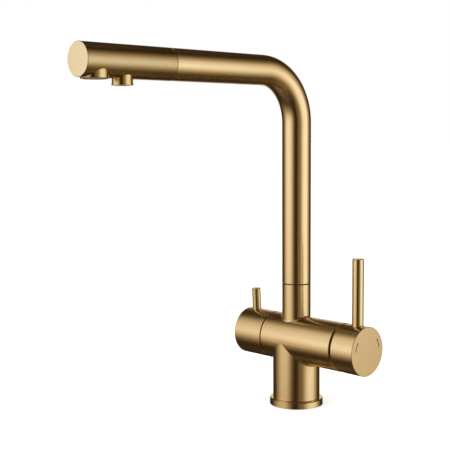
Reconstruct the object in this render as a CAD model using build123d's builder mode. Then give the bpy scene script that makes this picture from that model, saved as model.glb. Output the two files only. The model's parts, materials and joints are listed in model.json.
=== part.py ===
"""Three way filtered water tap.

A round column carries a level cross-body. A mixer handle for hot and cold water closes its right
end, and a quarter-turn handle for filtered water closes its left end. A swivelling spout rises from
the middle and ends in two outlets, one for mixed water and one for filtered water.

Millimetres, +Z up. The origin is the centre of the base, on the deck. The cross-body lies along X
with the mixer at +X, and the spout points along -Y.
"""

from build123d import *
import os
from math import cos, radians, sin, tan

os.makedirs("parts", exist_ok=True)

# --------------------------------------------------------------------------------------------
# Driving dimensions
# --------------------------------------------------------------------------------------------

# Clearances
running_clearance = 0.05  # radial, between a shaft and its bore
seat_clearance = 0.05  # radial, between a fixed piece and its pocket
face_clearance = 0.2  # between faces that pass each other
tilt_clearance = 0.5  # around the stem where it swings

# Base
flange_diameter = 52.0
flange_height = 6.5
flange_edge = 0.8
base_spigot_diameter = 41.0
base_seal_thickness = 1.6
base_seal_margin = 1.6  # radial, from the seal to the flange's edge
base_seal_wall = 1.1  # radial, from the body's spigot to the seal

# Column and cross-body
column_diameter = 45.8
column_foot_chamfer = 0.5
cross_diameter = 46.0
cross_height = 64.5
cross_right_length = 60.4
cross_left_length = 27.2
rim_chamfer = 0.5
joint_fillet = 1.9
seam_edge = 0.3  # chamfer on both sides of each visible seam

# Supply connections in the underside
inlet_thread_core = 8.9  # for an M10 x 1 hose tail
inlet_thread_depth = 12.0
inlet_x = 9.0
inlet_y = 9.5
filter_inlet_x = -6.0
supply_passage_diameter = 6.0
stud_thread_core = 6.8  # for an M8 fixing stud
stud_thread_depth = 14.0
stud_x = -9.5
stud_y = 12.0

# Swivel
swivel_seam_height = 119.2
swivel_ring_thickness = 0.8
swivel_ring_recess = 0.3
swivel_bore = 21.9
swivel_chamber_depth = 27.6  # below the stub's top
swivel_insert_length = 18.9
swivel_insert_bore = 17.0
swivel_insert_grip = 13.6
swivel_o_ring_section = 1.75
swivel_o_ring_pitch = 5.0
swivel_o_ring_first = 3.5  # from the insert's lower end to the first ring
retaining_groove_width = 4.4
retaining_groove_depth = 1.6
retaining_screw_diameter = 4.0
retaining_screw_socket = 2.0
retaining_screw_drop = 5.0  # below the swivel seam

# Spout
spout_diameter = 28.0
spout_wall = 2.0
spout_height = 322.5  # centre line of the level run
spout_reach = 252.8
spout_bend_radius = 48.0
head_length = 91.4
head_bore = 16.0
head_end_wall = 6.8
head_edge = 0.3
head_spigot_length = 12.0
head_seal_section = 1.75

# Main outlet
main_outlet_setback = 16.2  # from the spout's end face to the outlet's axis
main_outlet_diameter = 23.6
main_outlet_drop = 0.9  # below the spout's underside
main_outlet_height = 12.4
main_outlet_edge = 0.6
aerator_insert_diameter = 19.3
aerator_insert_height = 9.0
aerator_lip = 1.2
aerator_recess = 0.8
aerator_gasket_thickness = 1.0
aerator_hole_diameter = 1.5
aerator_hole_depth = 3.0

# Filtered outlet
filter_outlet_setback = 43.6
filter_outlet_diameter = 17.4
filter_outlet_drop = 5.3
filter_outlet_height = 8.8
filter_outlet_rim_diameter = 18.0
filter_outlet_rim_height = 1.4
filter_outlet_edge = 0.3
filter_stem_diameter = 8.0
filter_stem_height = 5.5
filter_insert_diameter = 13.4
filter_insert_height = 4.2
filter_insert_recess = 0.6
filter_insert_hole_diameter = 1.5

# Filtered water tube inside the spout
filter_tube_diameter = 8.0
filter_tube_bore = 6.0
filter_tube_grip = 6.0
filter_socket_height = 8.0
filter_socket_diameter = 13.0
filter_socket_seal_section = 1.5
filter_passage_diameter = 5.0
slot_margin = 0.4  # between the mixed water slot and the walls round it
elbow_diameter = 11.2
elbow_boss_diameter = 12.0
elbow_passage_diameter = 4.4
elbow_length = 14.2

# Mixer cartridge
mixer_socket_depth = 40.0
cartridge_diameter = 35.0
cartridge_base_thickness = 6.0
mixer_disc_thickness = 3.2
fixed_disc_diameter = 29.0
moving_disc_diameter = 21.0
carrier_diameter = 24.0
carrier_flat_width = 18.0
carrier_thickness = 6.6
mixer_housing_wall = 2.3
housing_shoulder = 30.0  # from the seat to the shoulder that the nut presses
housing_top_wall = 4.0
housing_neck_diameter = 26.0
housing_neck_length = 1.6
rotor_flange_diameter = 30.0
rotor_flange_gap = 0.5
rotor_neck_diameter = 21.8
rotor_length = 33.6  # from the seat to the rotor's outer end
port_circle_radius = 10.0
port_diameter = 6.0
port_spread = 9.0
port_drop = 2.5
port_seal_diameter = 9.2
port_seal_thickness = 1.2
locating_peg_diameter = 3.0
locating_peg_length = 2.0
locating_peg_y = 8.0
locating_peg_drop = 11.0

# Mixer nut
nut_thread_diameter = 38.0
nut_counterbore_depth = 13.0
nut_height = 6.6
nut_slot_width = 4.0
nut_slot_depth = 2.0
nut_slot_count = 4

# Mixer stem
stem_width = 8.0
stem_pivot = 23.6  # from the seat
stem_arm = 6.6  # from the pivot to the ball that drives the disc
stem_ball_diameter = 6.0
stem_shank_diameter = 3.6
stem_root = 2.8  # the square part's start, inboard of the pivot
stem_grip = 8.4  # depth of the square part in the handle
pivot_pin_diameter = 3.0
pivot_pin_length = 24.0
mixer_tilt = 20.0  # degrees that the handle tips outwards

# Mixer handle
mixer_cap_gap = 2.2
mixer_cap_length = 25.1
mixer_cap_wall = 1.6
mixer_cap_recess = 9.0
mixer_cap_relief = 2.45  # tapered flat under the cap's inboard edge
mixer_cap_edge = 0.3
mixer_pin_setback = 11.55  # from the cap's face to the pin's axis
mixer_pin_diameter = 10.8
mixer_pin_length = 62.0
mixer_pin_thread = 6.0
mark_radius = 17.0
mark_width = 1.1
mark_depth = 0.3
mark_dashes = ((55.0, 11.5), (70.5, 11.5))  # start angle and span, from the lever to each side

# Lever pins and set screws
pin_thread_length = 12.0
pin_seat = 1.5  # the pin's shoulder, below the cap's surface
pin_groove_width = 0.4  # round the foot of each pin
pin_groove_depth = 1.1  # below the cap's surface
pin_edge = 0.6
set_screw_diameter = 5.0
set_screw_length = 8.0
set_screw_socket = 2.5
set_screw_socket_depth = 3.0

# Filter valve
filter_seat_depth = 17.2
filter_thread_diameter = 20.8  # G 1/2 thread
filter_body_bore = 16.6
filter_seat_hole = 7.0
filter_seal_thickness = 1.5
filter_disc_thickness = 3.0
filter_disc_diameter = 16.4
filter_foot_diameter = 13.0
filter_foot_thickness = 3.0
filter_tab_width = 4.0
filter_tab_height = 1.4
filter_cavity_depth = 11.0
filter_window_width = 6.0
filter_chamber_diameter = 24.8
filter_rise_diameter = 3.0
filter_hex_across_flats = 24.0
filter_hex_counterbore = 30.0
filter_hex_depth = 5.0
filter_hex_length = 8.0
filter_neck_diameter = 15.0
filter_neck_length = 8.0
filter_spindle_diameter = 8.0
spindle_seal_section = 1.5
spindle_seal_offsets = (4.0, 9.0)  # from the hex's inboard face
circlip_thickness = 0.8
circlip_diameter = 12.0
filter_port_diameter = 5.0
filter_port_offset = 4.4

# Filter handle
filter_cap_gap = 0.8
filter_cap_length = 35.6
filter_cap_wall = 2.0
filter_cap_recess = 19.5
filter_cap_edge = 0.3
filter_pin_setback = 10.7
filter_pin_diameter = 8.6
filter_pin_length = 21.4
filter_pin_thread = 5.0
filter_pin_lean = 2.8  # degrees towards the spout at rest
filter_spindle_grip = 10.0

# --------------------------------------------------------------------------------------------
# Places worked out from them
# --------------------------------------------------------------------------------------------

base_seal_outer_diameter = flange_diameter - 2 * base_seal_margin
base_seal_inner_diameter = base_spigot_diameter + 2 * base_seal_wall
cross_radius = cross_diameter / 2
spout_radius = spout_diameter / 2
stub_top = swivel_seam_height - swivel_ring_thickness / 2
spout_foot = swivel_seam_height + swivel_ring_thickness / 2
swivel_chamber_floor = stub_top - swivel_chamber_depth
insert_foot = spout_foot - swivel_insert_length
spout_bore_radius = spout_radius - spout_wall
spout_underside = spout_height - spout_radius
head_seam = spout_reach - head_length

seat_x = cross_right_length - mixer_socket_depth
disc_x = seat_x + cartridge_base_thickness
moving_disc_x = disc_x + mixer_disc_thickness
carrier_x = moving_disc_x + mixer_disc_thickness
rotor_x = carrier_x + carrier_thickness + rotor_flange_gap
shoulder_x = seat_x + housing_shoulder
housing_ceiling_x = shoulder_x - housing_top_wall
neck_x = shoulder_x + housing_neck_length
rotor_top_x = seat_x + rotor_length
pivot_x = seat_x + stem_pivot
ball_x = pivot_x - stem_arm
mixer_cap_x = cross_right_length + mixer_cap_gap
mixer_face_x = mixer_cap_x + mixer_cap_length
mixer_hub_x = mixer_cap_x + mixer_cap_recess
mixer_pin_x = mixer_face_x - mixer_pin_setback
mixer_port_centres = (
    (-port_spread, -port_drop),
    (port_spread, -port_drop),
    (0, port_circle_radius),
)

filter_seat_x = -(cross_left_length - filter_seat_depth)
filter_fixed_x = filter_seat_x - filter_seal_thickness
filter_moving_x = filter_fixed_x - filter_disc_thickness
filter_foot_x = filter_moving_x - filter_disc_thickness
filter_cavity_x = filter_seat_x - filter_cavity_depth
filter_hex_x = -(cross_left_length - filter_hex_depth)
filter_neck_x = filter_hex_x - filter_hex_length
filter_neck_end_x = filter_neck_x - filter_neck_length
filter_cap_x = -(cross_left_length + filter_cap_gap)
filter_face_x = filter_cap_x - filter_cap_length
filter_hub_x = filter_cap_x - filter_cap_recess
filter_pin_x = filter_face_x + filter_pin_setback
filter_window_length = filter_foot_x - filter_cavity_x

main_outlet_y = -(spout_reach - main_outlet_setback)
main_outlet_foot = spout_underside - main_outlet_drop
main_outlet_top = main_outlet_foot + main_outlet_height
filter_outlet_y = -(spout_reach - filter_outlet_setback)
filter_outlet_foot = spout_underside - filter_outlet_drop
filter_outlet_top = filter_outlet_foot + filter_outlet_height
filter_stem_top = filter_outlet_top + filter_stem_height
filter_socket_top = swivel_chamber_floor + filter_socket_height
filter_tube_foot = filter_socket_top - filter_tube_grip
elbow_start_y = filter_outlet_y + elbow_length / 2
filter_tube_end_y = elbow_start_y - filter_tube_grip

cross_axis = Axis((0, 0, cross_height), (1, 0, 0))


def right_plane(x):
    """A plane across the cross-body at x, facing right, with +Z up in the sketch."""
    return Plane(origin=(x, 0, cross_height), x_dir=(0, 1, 0), z_dir=(1, 0, 0))


def left_plane(x):
    """A plane across the cross-body at x, facing left, with +Z up in the sketch."""
    return Plane(origin=(x, 0, cross_height), x_dir=(0, -1, 0), z_dir=(-1, 0, 0))


def spout_plane(distance):
    """A plane across the spout's level run, that far out from the column's axis."""
    return Plane(origin=(0, -distance, spout_height), x_dir=(1, 0, 0), z_dir=(0, -1, 0))


def level_plane(y, z):
    """A level plane with its origin under or over the spout's level run."""
    return Plane(origin=(0, y, z), x_dir=(1, 0, 0), z_dir=(0, 0, 1))


def lever_plane(x, radius, lean):
    """A plane square to a lever pin, that far out from the cross-body's axis."""
    up = (0, -sin(radians(lean)), cos(radians(lean)))
    return Plane(
        origin=(x, up[1] * radius, cross_height + up[2] * radius),
        x_dir=(1, 0, 0),
        z_dir=up,
    )


# --------------------------------------------------------------------------------------------
# Base
# --------------------------------------------------------------------------------------------

with BuildPart() as base_flange:
    with BuildSketch(Plane.XY):
        Circle(flange_diameter / 2)
        Circle(base_spigot_diameter / 2 + seat_clearance, mode=Mode.SUBTRACT)
    extrude(amount=flange_height)
    chamfer(base_flange.faces().sort_by(Axis.Z)[-1].outer_wire().edges(), flange_edge)
    with BuildSketch(Plane.XY):
        Circle(base_seal_outer_diameter / 2 + seat_clearance)
        Circle(base_seal_inner_diameter / 2 - seat_clearance, mode=Mode.SUBTRACT)
    extrude(amount=base_seal_thickness, mode=Mode.SUBTRACT)
base_flange.part.label = "base_flange"
export_step(base_flange.part, "parts/base_flange.step")

with BuildPart() as base_seal:
    with BuildSketch(Plane.XY):
        Circle(base_seal_outer_diameter / 2)
        Circle(base_seal_inner_diameter / 2, mode=Mode.SUBTRACT)
    extrude(amount=base_seal_thickness)
base_seal.part.label = "base_seal"
export_step(base_seal.part, "parts/base_seal.step")

# --------------------------------------------------------------------------------------------
# Body: the column, the cross-body and the stub that carries the spout
# --------------------------------------------------------------------------------------------

mixed_slot_radius = (filter_socket_diameter + swivel_bore) / 4
mixed_slot_arc = CenterArc((0, 0), mixed_slot_radius, -35, 70)
mixed_slot_width = (swivel_bore - filter_socket_diameter) / 2 - 2 * slot_margin
mixed_port_height = cross_height + port_circle_radius
filter_rise_x = (filter_foot_x + filter_cavity_x) / 2
filter_rise_height = mixed_port_height + filter_passage_diameter

with BuildPart() as tap_body:
    with BuildSketch(Plane.XY.offset(flange_height)):
        Circle(column_diameter / 2)
    extrude(amount=cross_height - flange_height)
    with BuildSketch(right_plane(-cross_left_length)):
        Circle(cross_radius)
    extrude(amount=cross_left_length + cross_right_length)
    with BuildSketch(Plane.XY.offset(cross_height)):
        Circle(spout_radius)
    extrude(amount=stub_top - cross_height)
    joint_edges = tap_body.edges().filter_by(GeomType.CIRCLE, reverse=True)
    fillet(joint_edges.filter_by(GeomType.LINE, reverse=True), joint_fillet)
    rims = tap_body.edges().filter_by(GeomType.CIRCLE)
    chamfer(rims.sort_by(Axis.X)[-1], rim_chamfer)
    chamfer(rims.sort_by(Axis.X)[0], rim_chamfer)
    chamfer(rims.sort_by(Axis.Z)[-1], seam_edge)
    chamfer(tap_body.faces().sort_by(Axis.Z)[0].edges(), column_foot_chamfer)
    with BuildSketch(Plane.XY):
        Circle(base_spigot_diameter / 2)
    extrude(amount=flange_height + column_foot_chamfer)

    # Mixer socket: cartridge bore, nut counterbore and the two holes that locate the cartridge
    with BuildSketch(right_plane(seat_x)):
        Circle(cartridge_diameter / 2 + seat_clearance)
    extrude(amount=mixer_socket_depth, mode=Mode.SUBTRACT)
    with BuildSketch(right_plane(cross_right_length - nut_counterbore_depth)):
        Circle(nut_thread_diameter / 2)
    extrude(amount=nut_counterbore_depth, mode=Mode.SUBTRACT)
    with BuildSketch(right_plane(seat_x)):
        with Locations((-locating_peg_y, -locating_peg_drop), (locating_peg_y, -locating_peg_drop)):
            Circle(locating_peg_diameter / 2 + seat_clearance)
    extrude(amount=-(locating_peg_length + face_clearance), mode=Mode.SUBTRACT)

    # Hot and cold water: threaded inlets, rising passages and the runs to the mixer's seat
    with BuildSketch(Plane.XY):
        with Locations((inlet_x, -inlet_y), (inlet_x, inlet_y), (filter_inlet_x, 0)):
            Circle(inlet_thread_core / 2)
    extrude(amount=inlet_thread_depth, mode=Mode.SUBTRACT)
    with BuildSketch(Plane.XY.offset(inlet_thread_depth)):
        with Locations((inlet_x, -inlet_y), (inlet_x, inlet_y)):
            Circle(supply_passage_diameter / 2)
    extrude(amount=cross_height - port_drop - inlet_thread_depth, mode=Mode.SUBTRACT)
    with BuildSketch(right_plane(inlet_x)):
        with Locations((-port_spread, -port_drop), (port_spread, -port_drop)):
            Circle(port_diameter / 2)
    extrude(amount=seat_x - inlet_x, mode=Mode.SUBTRACT)

    # Mixed water: back from the seat and up into the swivel chamber
    with BuildSketch(right_plane(mixed_slot_radius)):
        with Locations((0, port_circle_radius)):
            Circle(port_diameter / 2)
    extrude(amount=seat_x - mixed_slot_radius, mode=Mode.SUBTRACT)
    with BuildSketch(Plane.XY.offset(mixed_port_height)):
        SlotArc(mixed_slot_arc, mixed_slot_width)
    extrude(amount=swivel_chamber_floor - mixed_port_height, mode=Mode.SUBTRACT)

    # Filter socket: seat, thread, the chamber round the valve's windows and the hex's recess
    with BuildSketch(left_plane(filter_seat_x)):
        Circle(filter_thread_diameter / 2 + seat_clearance)
    extrude(amount=filter_seat_depth, mode=Mode.SUBTRACT)
    with BuildSketch(left_plane(filter_foot_x)):
        Circle(filter_chamber_diameter / 2)
    extrude(amount=filter_window_length, mode=Mode.SUBTRACT)
    with BuildSketch(left_plane(filter_hex_x)):
        Circle(filter_hex_counterbore / 2)
    extrude(amount=filter_hex_depth, mode=Mode.SUBTRACT)
    with BuildSketch(left_plane(filter_inlet_x)):
        Circle(filter_seat_hole / 2)
    extrude(amount=filter_inlet_x - filter_seat_x, mode=Mode.SUBTRACT)
    with BuildSketch(Plane.XY.offset(inlet_thread_depth)):
        with Locations((filter_inlet_x, 0)):
            Circle(filter_passage_diameter / 2)
    extrude(amount=cross_height - inlet_thread_depth, mode=Mode.SUBTRACT)

    # Filtered water: up from the valve's chamber, across, and up into its own socket
    with BuildSketch(Plane.XY.offset(cross_height + filter_thread_diameter / 2)):
        with Locations((filter_rise_x, 0)):
            Circle(filter_rise_diameter / 2)
    extrude(amount=filter_rise_height - cross_height - filter_thread_diameter / 2, mode=Mode.SUBTRACT)
    with BuildSketch(right_plane(filter_rise_x)):
        with Locations((0, filter_rise_height - cross_height)):
            Circle(filter_passage_diameter / 2)
    extrude(amount=-filter_rise_x, mode=Mode.SUBTRACT)
    with BuildSketch(Plane.XY.offset(filter_rise_height)):
        Circle(filter_passage_diameter / 2)
    extrude(amount=filter_tube_foot - filter_rise_height, mode=Mode.SUBTRACT)

    # Swivel chamber in the stub, round the socket of the filtered water tube
    with BuildSketch(Plane.XY.offset(swivel_chamber_floor)):
        Circle(swivel_bore / 2)
        Circle(filter_socket_diameter / 2, mode=Mode.SUBTRACT)
    extrude(amount=filter_socket_height, mode=Mode.SUBTRACT)
    with BuildSketch(Plane.XY.offset(filter_socket_top)):
        Circle(swivel_bore / 2)
    extrude(amount=stub_top - filter_socket_top, mode=Mode.SUBTRACT)
    with BuildSketch(Plane.XY.offset(filter_tube_foot)):
        Circle(filter_tube_diameter / 2 + running_clearance)
    extrude(amount=filter_tube_grip, mode=Mode.SUBTRACT)
    with BuildSketch(Plane.XY.offset(filter_tube_foot + filter_tube_grip / 2)):
        Circle(filter_tube_diameter / 2 + filter_socket_seal_section + running_clearance)
    extrude(amount=filter_socket_seal_section + face_clearance, mode=Mode.SUBTRACT)

    # Retaining screw's threaded hole in the back of the stub
    with BuildSketch(Plane.XZ.offset(-spout_radius)):
        with Locations((0, swivel_seam_height - retaining_screw_drop)):
            Circle(retaining_screw_diameter / 2)
    extrude(amount=spout_radius - swivel_bore / 2 + spout_wall, mode=Mode.SUBTRACT)

    # Fixing studs
    with BuildSketch(Plane.XY):
        with Locations((stud_x, -stud_y), (stud_x, stud_y)):
            Circle(stud_thread_core / 2)
    extrude(amount=stud_thread_depth, mode=Mode.SUBTRACT)
tap_body.part.label = "tap_body"
export_step(tap_body.part, "parts/tap_body.step")

with BuildPart() as filter_tube_seal:
    seal_radius = filter_socket_seal_section / 2
    seal_z = filter_tube_foot + filter_tube_grip / 2 + (filter_socket_seal_section + face_clearance) / 2
    with BuildSketch(Plane.XZ):
        with Locations((filter_tube_diameter / 2 + running_clearance / 2 + seal_radius, seal_z)):
            Circle(seal_radius)
    revolve(axis=Axis.Z)
filter_tube_seal.part.label = "filter_tube_seal"
export_step(filter_tube_seal.part, "parts/filter_tube_seal.step")

# --------------------------------------------------------------------------------------------
# Swivel
# --------------------------------------------------------------------------------------------

with BuildPart() as swivel_bearing_ring:
    with BuildSketch(Plane.XY.offset(stub_top)):
        Circle(spout_radius - swivel_ring_recess)
        Circle(swivel_bore / 2 + face_clearance, mode=Mode.SUBTRACT)
    extrude(amount=swivel_ring_thickness)
swivel_bearing_ring.part.label = "swivel_bearing_ring"
export_step(swivel_bearing_ring.part, "parts/swivel_bearing_ring.step")

swivel_shank_radius = swivel_bore / 2 - running_clearance
swivel_groove_radius = swivel_shank_radius - swivel_o_ring_section
swivel_ring_heights = [insert_foot + swivel_o_ring_first + swivel_o_ring_pitch * n for n in range(2)]
retaining_height = swivel_seam_height - retaining_screw_drop
retaining_groove_radius = swivel_shank_radius - retaining_groove_depth

with BuildPart() as spout_swivel_insert:
    with BuildSketch(Plane.XY.offset(insert_foot)):
        Circle(swivel_shank_radius)
    extrude(amount=swivel_insert_length)
    with BuildSketch(Plane.XY.offset(spout_foot)):
        Circle(spout_bore_radius - seat_clearance)
    extrude(amount=swivel_insert_grip)
    with BuildSketch(Plane.XY.offset(insert_foot)):
        Circle(swivel_insert_bore / 2)
    extrude(amount=swivel_insert_length + swivel_insert_grip, mode=Mode.SUBTRACT)
    for ring_height in swivel_ring_heights:
        with BuildSketch(Plane.XY.offset(ring_height - swivel_o_ring_section / 2 - face_clearance)):
            Circle(swivel_shank_radius)
            Circle(swivel_groove_radius, mode=Mode.SUBTRACT)
        extrude(amount=swivel_o_ring_section + 2 * face_clearance, mode=Mode.SUBTRACT)
    with BuildSketch(Plane.XY.offset(retaining_height - retaining_groove_width / 2)):
        Circle(swivel_shank_radius)
        Circle(retaining_groove_radius, mode=Mode.SUBTRACT)
    extrude(amount=retaining_groove_width, mode=Mode.SUBTRACT)
spout_swivel_insert.part.label = "spout_swivel_insert"
export_step(spout_swivel_insert.part, "parts/spout_swivel_insert.step")

with BuildPart() as spout_o_rings:
    with BuildSketch(Plane.XZ):
        for ring_height in swivel_ring_heights:
            with Locations((swivel_groove_radius + swivel_o_ring_section / 2, ring_height)):
                Circle(swivel_o_ring_section / 2)
    revolve(axis=Axis.Z)
spout_o_rings.part.label = "spout_o_rings"
export_step(spout_o_rings.part, "parts/spout_o_rings.step")

retaining_screw_length = spout_radius - retaining_groove_radius - 2 * face_clearance

with BuildPart() as spout_retaining_screw:
    with BuildSketch(Plane.XZ.offset(-spout_radius + face_clearance)):
        with Locations((0, retaining_height)):
            Circle(retaining_screw_diameter / 2)
    extrude(amount=retaining_screw_length)
    with BuildSketch(Plane.XZ.offset(-spout_radius + face_clearance)):
        with Locations((0, retaining_height)):
            RegularPolygon(retaining_screw_socket / 2, 6, major_radius=False)
    extrude(amount=retaining_screw_length / 2, mode=Mode.SUBTRACT)
spout_retaining_screw.part.label = "spout_retaining_screw"
export_step(spout_retaining_screw.part, "parts/spout_retaining_screw.step")

# --------------------------------------------------------------------------------------------
# Spout: tube, head and the two outlets
# --------------------------------------------------------------------------------------------

spout_bend_start = (0, 0, spout_height - spout_bend_radius)
spout_bend_end = (0, -spout_bend_radius, spout_height)

with BuildLine() as spout_path:
    Line((0, 0, spout_foot), spout_bend_start)
    TangentArc(spout_bend_start, spout_bend_end, tangent=(0, 0, 1))
    Line(spout_bend_end, (0, -head_seam, spout_height))

with BuildPart() as spout_tube:
    with BuildSketch(Plane.XY.offset(spout_foot)):
        Circle(spout_radius)
        Circle(spout_bore_radius, mode=Mode.SUBTRACT)
    sweep(path=spout_path.wire())
    chamfer(spout_tube.faces().sort_by(Axis.Z)[0].outer_wire().edges(), seam_edge)
    chamfer(spout_tube.faces().sort_by(Axis.Y)[0].outer_wire().edges(), seam_edge)
spout_tube.part.label = "spout_tube"
export_step(spout_tube.part, "parts/spout_tube.step")

head_spigot_radius = spout_bore_radius - seat_clearance
head_groove_radius = head_spigot_radius - head_seal_section
head_seal_distance = head_seam - head_spigot_length / 2
main_pocket_top = main_outlet_top + aerator_gasket_thickness

with BuildPart() as spout_head:
    with BuildSketch(spout_plane(head_seam)):
        Circle(spout_radius)
    extrude(amount=head_length)
    chamfer(spout_head.faces().sort_by(Axis.Y)[0].edges(), head_edge)
    chamfer(spout_head.faces().sort_by(Axis.Y)[-1].edges(), seam_edge)
    with BuildSketch(spout_plane(head_seam)):
        Circle(head_spigot_radius)
    extrude(amount=-head_spigot_length)
    with BuildSketch(spout_plane(head_seam - head_spigot_length)):
        Circle(head_bore / 2)
    extrude(amount=head_length + head_spigot_length - head_end_wall, mode=Mode.SUBTRACT)
    with BuildSketch(spout_plane(head_seal_distance - head_seal_section / 2 - face_clearance)):
        Circle(head_spigot_radius)
        Circle(head_groove_radius, mode=Mode.SUBTRACT)
    extrude(amount=head_seal_section + 2 * face_clearance, mode=Mode.SUBTRACT)
    with BuildSketch(level_plane(main_outlet_y, main_pocket_top)):
        Circle(main_outlet_diameter / 2 + seat_clearance)
    extrude(amount=-spout_diameter, mode=Mode.SUBTRACT)
    with BuildSketch(level_plane(filter_outlet_y, filter_outlet_top)):
        Circle(filter_outlet_diameter / 2 + seat_clearance)
    extrude(amount=-spout_diameter, mode=Mode.SUBTRACT)
    with BuildSketch(level_plane(filter_outlet_y, filter_outlet_top)):
        Circle(filter_stem_diameter / 2 + seat_clearance)
    extrude(amount=head_bore / 2, mode=Mode.SUBTRACT)
spout_head.part.label = "spout_head"
export_step(spout_head.part, "parts/spout_head.step")

with BuildPart() as head_joint_seal:
    with BuildSketch(Plane.YZ):
        with Locations((-head_seal_distance, spout_height + head_groove_radius + head_seal_section / 2)):
            Circle(head_seal_section / 2)
    revolve(axis=Axis((0, 0, spout_height), (0, 1, 0)))
head_joint_seal.part.label = "head_joint_seal"
export_step(head_joint_seal.part, "parts/head_joint_seal.step")

with BuildPart() as main_aerator_housing:
    with BuildSketch(level_plane(main_outlet_y, main_outlet_foot)):
        Circle(main_outlet_diameter / 2)
        Circle(aerator_insert_diameter / 2 + seat_clearance, mode=Mode.SUBTRACT)
    extrude(amount=aerator_recess + aerator_insert_height)
    chamfer(main_aerator_housing.faces().sort_by(Axis.Z)[0].edges(), main_outlet_edge)
    with BuildSketch(level_plane(main_outlet_y, main_outlet_foot + aerator_recess + aerator_insert_height)):
        Circle(main_outlet_diameter / 2)
        Circle(aerator_insert_diameter / 2 - aerator_lip, mode=Mode.SUBTRACT)
    extrude(amount=main_outlet_height - aerator_recess - aerator_insert_height)
main_aerator_housing.part.label = "main_aerator_housing"
export_step(main_aerator_housing.part, "parts/main_aerator_housing.step")

with BuildPart() as main_aerator_insert:
    with BuildSketch(level_plane(main_outlet_y, main_outlet_foot + aerator_recess)):
        Circle(aerator_insert_diameter / 2)
    extrude(amount=aerator_insert_height)
    with BuildSketch(level_plane(main_outlet_y, main_outlet_foot + aerator_recess)):
        Circle(aerator_hole_diameter / 2)
        for ring_count in (6, 12, 18):
            with PolarLocations(aerator_hole_diameter * 1.7 * ring_count / 6, ring_count):
                Circle(aerator_hole_diameter / 2)
    extrude(amount=aerator_hole_depth, mode=Mode.SUBTRACT)
main_aerator_insert.part.label = "main_aerator_insert"
export_step(main_aerator_insert.part, "parts/main_aerator_insert.step")

with BuildPart() as main_aerator_gasket:
    with BuildSketch(level_plane(main_outlet_y, main_outlet_top)):
        Circle(main_outlet_diameter / 2)
        Circle(aerator_insert_diameter / 2 - aerator_lip, mode=Mode.SUBTRACT)
    extrude(amount=aerator_gasket_thickness)
main_aerator_gasket.part.label = "main_aerator_gasket"
export_step(main_aerator_gasket.part, "parts/main_aerator_gasket.step")

with BuildPart() as filter_outlet_nozzle:
    with BuildSketch(level_plane(filter_outlet_y, filter_outlet_foot)):
        Circle(filter_outlet_rim_diameter / 2)
    extrude(amount=filter_outlet_rim_height)
    with BuildSketch(level_plane(filter_outlet_y, filter_outlet_foot + filter_outlet_rim_height)):
        Circle(filter_outlet_diameter / 2)
    extrude(amount=filter_outlet_height - filter_outlet_rim_height)
    chamfer(filter_outlet_nozzle.faces().sort_by(Axis.Z)[0].edges(), filter_outlet_edge)
    with BuildSketch(level_plane(filter_outlet_y, filter_outlet_top)):
        Circle(filter_stem_diameter / 2)
    extrude(amount=filter_stem_height)
    with BuildSketch(level_plane(filter_outlet_y, filter_outlet_foot)):
        Circle(filter_insert_diameter / 2 + seat_clearance)
    extrude(amount=filter_insert_recess + filter_insert_height, mode=Mode.SUBTRACT)
    with BuildSketch(level_plane(filter_outlet_y, filter_outlet_foot)):
        Circle(filter_passage_diameter / 2)
    extrude(amount=filter_outlet_height + filter_stem_height, mode=Mode.SUBTRACT)
filter_outlet_nozzle.part.label = "filter_outlet_nozzle"
export_step(filter_outlet_nozzle.part, "parts/filter_outlet_nozzle.step")

with BuildPart() as filter_outlet_insert:
    with BuildSketch(level_plane(filter_outlet_y, filter_outlet_foot + filter_insert_recess)):
        Circle(filter_insert_diameter / 2)
    extrude(amount=filter_insert_height)
    with BuildSketch(level_plane(filter_outlet_y, filter_outlet_foot + filter_insert_recess)):
        Circle(filter_insert_hole_diameter / 2)
        for ring_count in (6, 12):
            with PolarLocations(filter_insert_hole_diameter * 1.7 * ring_count / 6, ring_count):
                Circle(filter_insert_hole_diameter / 2)
    extrude(amount=filter_insert_height / 2, mode=Mode.SUBTRACT)
filter_outlet_insert.part.label = "filter_outlet_insert"
export_step(filter_outlet_insert.part, "parts/filter_outlet_insert.step")

with BuildPart() as filter_outlet_elbow:
    with BuildSketch(spout_plane(-elbow_start_y)):
        Circle(elbow_diameter / 2)
    extrude(amount=elbow_length)
    with BuildSketch(level_plane(filter_outlet_y, spout_height)):
        Circle(elbow_boss_diameter / 2)
    extrude(amount=-head_bore / 2)
    with BuildSketch(spout_plane(-elbow_start_y)):
        Circle(head_bore / 2 - seat_clearance)
    extrude(amount=elbow_length, mode=Mode.INTERSECT)
    with BuildSketch(spout_plane(-elbow_start_y)):
        Circle(filter_tube_diameter / 2 + seat_clearance)
    extrude(amount=filter_tube_grip, mode=Mode.SUBTRACT)
    with BuildSketch(spout_plane(-elbow_start_y)):
        Circle(elbow_passage_diameter / 2)
    extrude(amount=elbow_length / 2, mode=Mode.SUBTRACT)
    with BuildSketch(level_plane(filter_outlet_y, filter_stem_top + face_clearance)):
        Circle(filter_stem_diameter / 2 + seat_clearance)
    extrude(amount=-head_bore / 2, mode=Mode.SUBTRACT)
    with BuildSketch(level_plane(filter_outlet_y, spout_height)):
        Circle(filter_passage_diameter / 2)
    extrude(amount=-head_bore / 2, mode=Mode.SUBTRACT)
filter_outlet_elbow.part.label = "filter_outlet_elbow"
export_step(filter_outlet_elbow.part, "parts/filter_outlet_elbow.step")

with BuildLine() as filter_tube_path:
    Line((0, 0, filter_tube_foot), spout_bend_start)
    TangentArc(spout_bend_start, spout_bend_end, tangent=(0, 0, 1))
    Line(spout_bend_end, (0, filter_tube_end_y, spout_height))

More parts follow.
